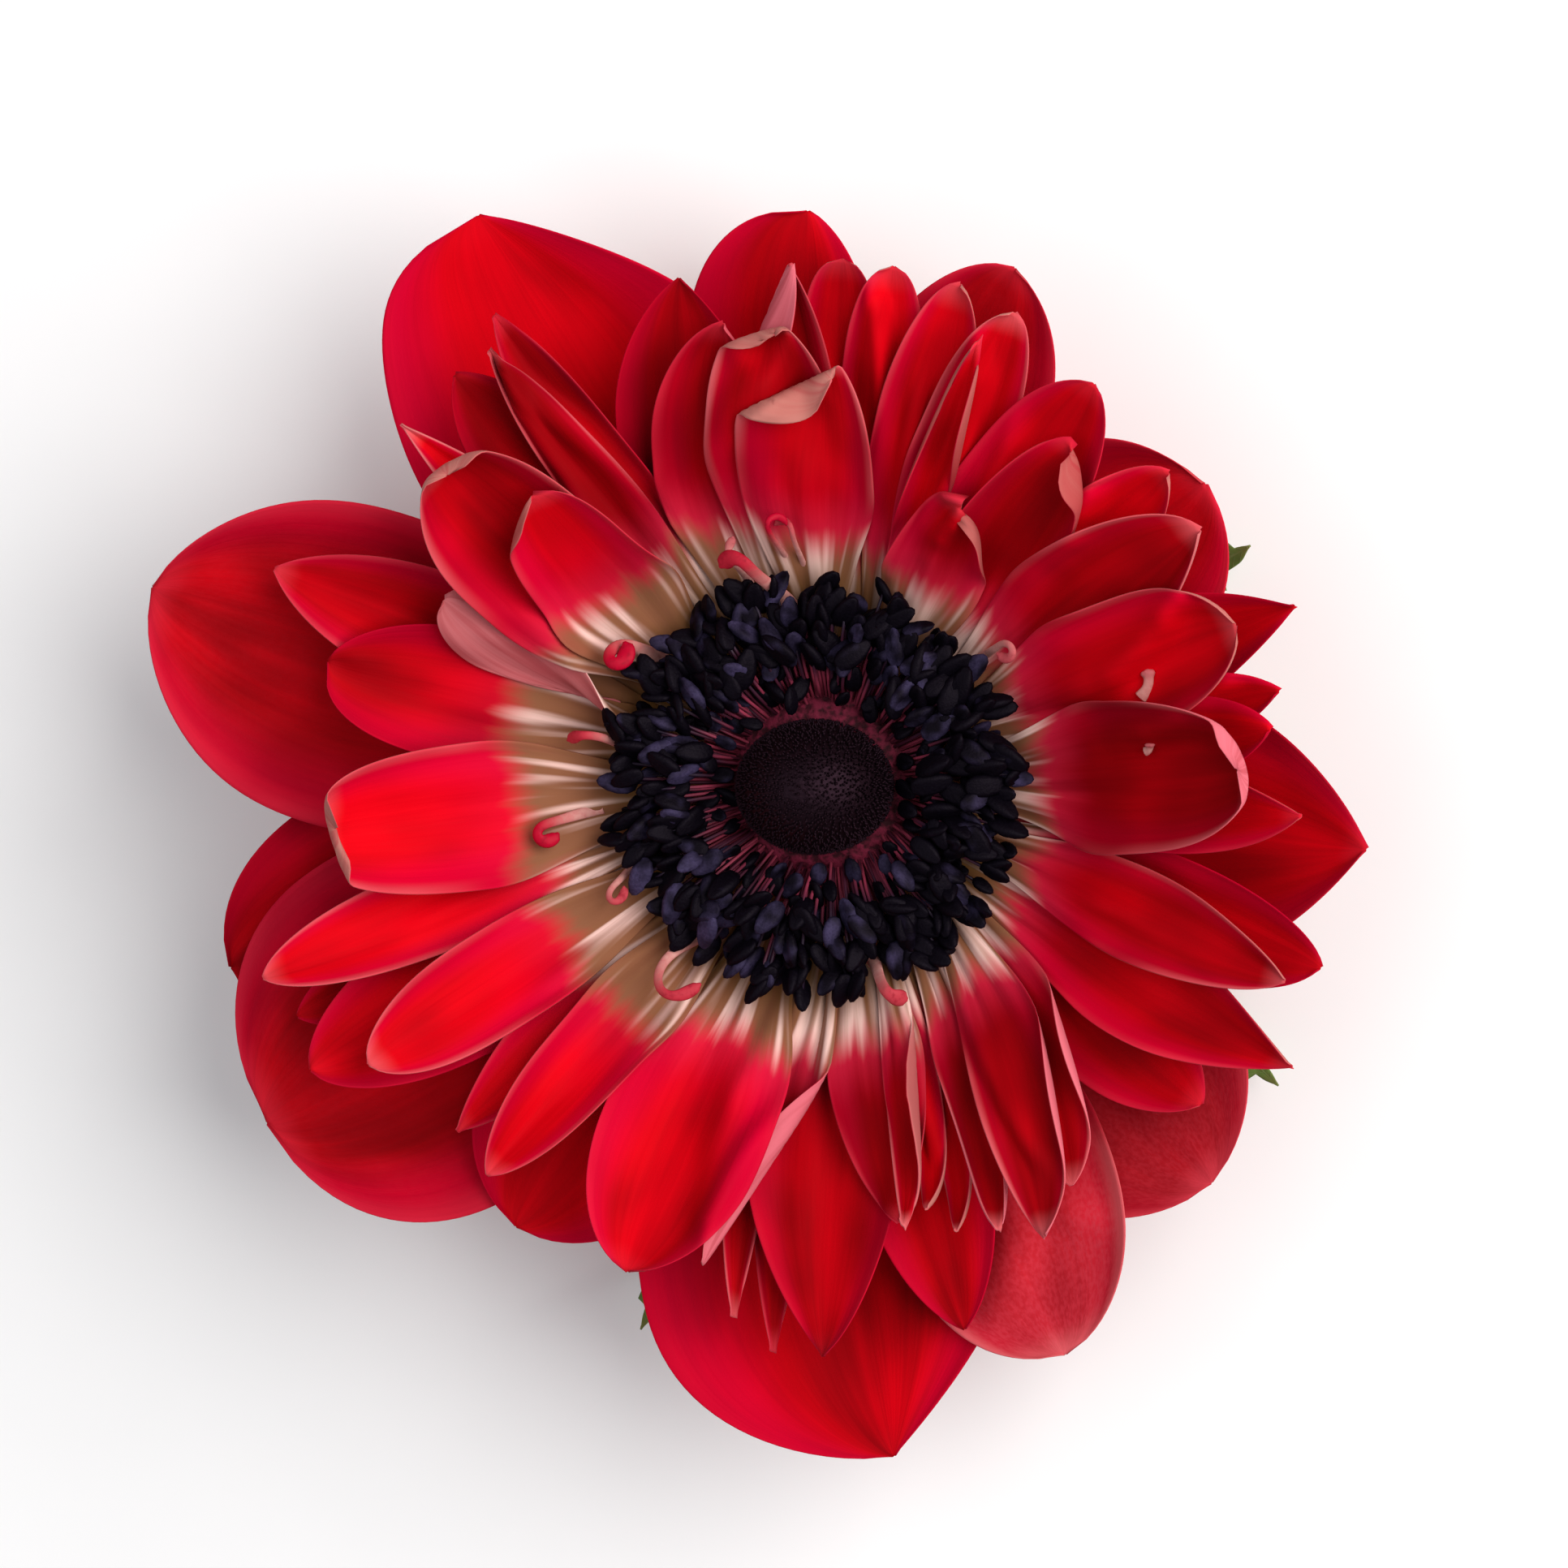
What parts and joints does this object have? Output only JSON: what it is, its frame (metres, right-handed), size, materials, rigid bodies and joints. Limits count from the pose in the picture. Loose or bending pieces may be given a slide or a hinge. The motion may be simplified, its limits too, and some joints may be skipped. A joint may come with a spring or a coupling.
{
  "type": "anemone flower",
  "caption": "Double poppy anemone bloom with broad outer tepals, layered inner petals, a ring of dark stamens, a domed pistil, a short cut stem and cut bracts it rests on.",
  "frame": {"origin": "bottom centre of the bounding box, on the surface that the bracts rest on", "axes": "+Z up along the flower's axis, face up; +X to the right and +Y up as the flower is seen from above; the axis of the stem stands at x 0.0044 m, y 0.0034 m"},
  "size_m": [0.0848, 0.085, 0.028],
  "materials": {
    "stem": "soft green stalk with fine hairs",
    "leaf": "matt green leaf",
    "outer_petal": "satin red petal with fine veins",
    "inner_petal": "satin red petal with a cream foot and pale tips",
    "stamen": "matt blue-black anthers on plum filaments",
    "pistil": "near-black velvet dome"
  },
  "bodies": {
    "root": {"stem": "stem", "involucre": "leaf", "outer_tepals": "outer_petal", "inner_petals": "inner_petal", "stamens": "stamen", "pistil": "pistil"}
  },
  "joints": []
}
